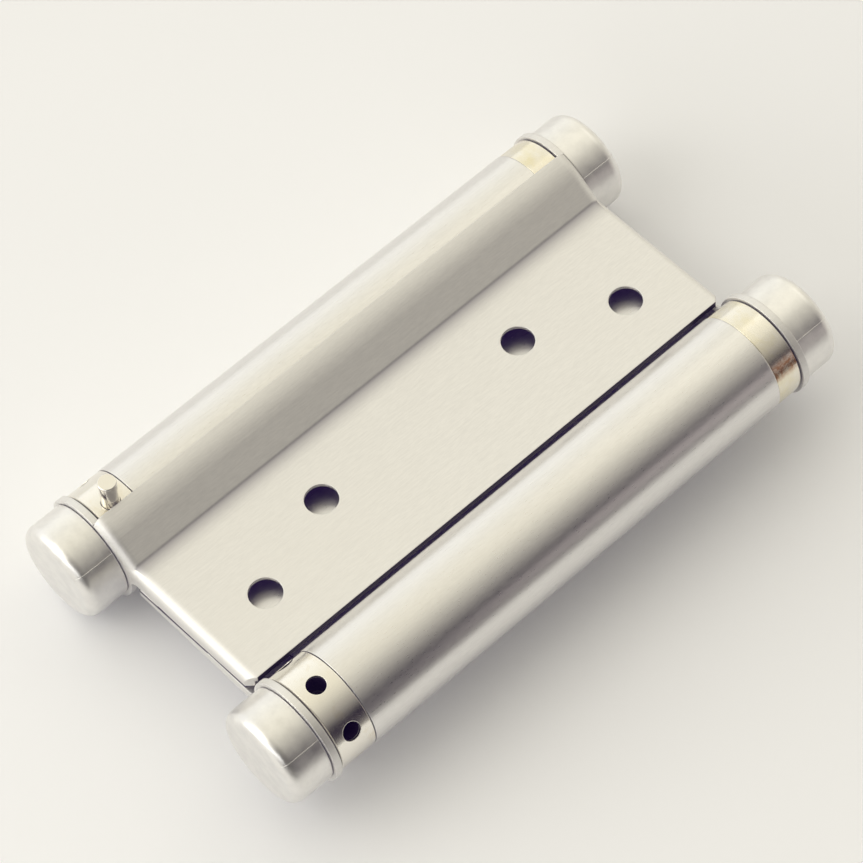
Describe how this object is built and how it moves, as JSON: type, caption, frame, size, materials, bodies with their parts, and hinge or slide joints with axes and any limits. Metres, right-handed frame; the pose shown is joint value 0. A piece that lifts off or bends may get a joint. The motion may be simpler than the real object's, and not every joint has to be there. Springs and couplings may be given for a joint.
{
  "type": "double action spring hinge",
  "caption": "Double action spring hinge: two leaves on sprung parallel barrels joined by a web, so that a swing door opens both ways and closes itself.",
  "frame": {"origin": "centre of the closed hinge, midway between the barrel axes and between the end caps", "axes": "+Y along the barrels towards the fixed collars, +X from the door side's barrel to the frame side's, +Z out of the door leaf's plate"},
  "size_m": [0.0836, 0.1434, 0.0366],
  "materials": {
    "satin_steel": "satin stainless steel, fine lengthwise grain",
    "bright_nickel": "bright nickel plate",
    "cast_nickel": "soft nickel plate on a zinc casting",
    "spring_steel": "oiled spring steel",
    "plain_steel": "bright drawn steel"
  },
  "bodies": {
    "web": {"centre_web": "satin_steel", "door_spindle": "plain_steel", "door_spring": "spring_steel", "door_fixed_collar": "bright_nickel", "door_near_cap": "cast_nickel", "door_far_cap": "cast_nickel", "frame_spindle": "plain_steel", "frame_spring": "spring_steel", "frame_fixed_collar": "bright_nickel", "frame_near_cap": "cast_nickel", "frame_far_cap": "cast_nickel"},
    "door_leaf_body": {"door_leaf": "satin_steel"},
    "door_collar_body": {"door_adjusting_collar": "bright_nickel"},
    "door_pin_body": {"door_tension_pin": "bright_nickel"},
    "frame_leaf_body": {"frame_leaf": "satin_steel"},
    "frame_collar_body": {"frame_adjusting_collar": "bright_nickel"},
    "frame_pin_body": {"frame_tension_pin": "bright_nickel"}
  },
  "joints": [
    {"name": "door_leaf_swing", "type": "hinge", "parent": "web", "child": "door_leaf_body", "pos_m": [-0.0302, 0, 0], "axis": [0, -1, 0], "range_deg": [0, 160], "stiffness_Nm_per_rad": 0.85, "springref_deg": -60.16, "deforming": ["door_spring"]},
    {"name": "door_collar_turn", "type": "hinge", "parent": "door_leaf_body", "child": "door_collar_body", "pos_m": [-0.0302, 0, 0], "axis": [0, -1, 0], "range_deg": [0, 60], "stiffness_Nm_per_rad": 0.85, "springref_deg": -60.16, "deforming": ["door_spring"]},
    {"name": "door_pin_pull", "type": "slide", "parent": "door_collar_body", "child": "door_pin_body", "axis": [0.1081, 0, 0.9941], "range_m": [0, 0.008]},
    {"name": "frame_leaf_swing", "type": "hinge", "parent": "web", "child": "frame_leaf_body", "pos_m": [0.0302, 0, 0], "axis": [0, -1, 0], "range_deg": [0, 160], "stiffness_Nm_per_rad": 0.85, "springref_deg": -60.16, "deforming": ["frame_spring"]},
    {"name": "frame_collar_turn", "type": "hinge", "parent": "frame_leaf_body", "child": "frame_collar_body", "pos_m": [0.0302, 0, 0], "axis": [0, -1, 0], "range_deg": [0, 60], "stiffness_Nm_per_rad": 0.85, "springref_deg": -60.16, "deforming": ["frame_spring"]},
    {"name": "frame_pin_pull", "type": "slide", "parent": "frame_collar_body", "child": "frame_pin_body", "axis": [-0.1081, 0, -0.9941], "range_m": [0, 0.008]}
  ]
}
